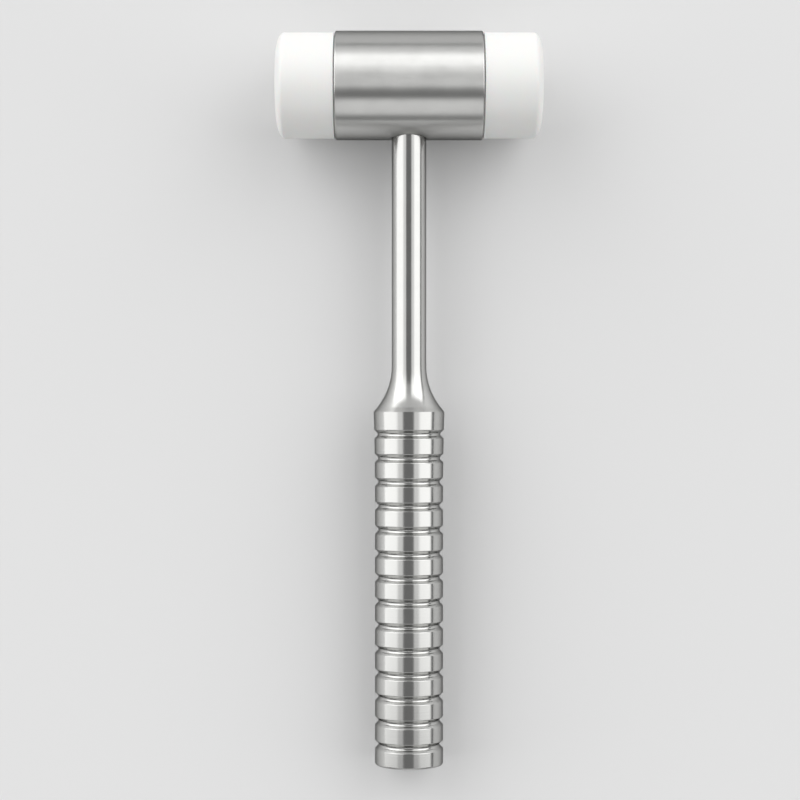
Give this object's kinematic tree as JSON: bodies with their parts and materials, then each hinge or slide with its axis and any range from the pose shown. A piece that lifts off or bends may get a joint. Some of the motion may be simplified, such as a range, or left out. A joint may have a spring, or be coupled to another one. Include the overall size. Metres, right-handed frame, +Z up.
{
  "type": "surgical mallet",
  "caption": "Steel surgical mallet with a cylindrical head, two white nylon strike faces and a slim round shaft that flares into a ring-grooved grip.",
  "frame": {"origin": "on the table, under the middle of the mallet's box, with the mallet lying on the side of its head and on the rim of its grip", "axes": "+Z up from the table, X along the head from the left nylon face to the right one, +Y from the grip towards the head"},
  "size_m": [0.0666, 0.1848, 0.0273],
  "materials": {
    "head_steel": "satin, turned",
    "handle_steel": "polished, turned",
    "nylon": "turned white nylon"
  },
  "bodies": {
    "root": {"head": "head_steel", "handle": "handle_steel", "nylon_face_left": "nylon", "nylon_face_right": "nylon"}
  },
  "joints": []
}
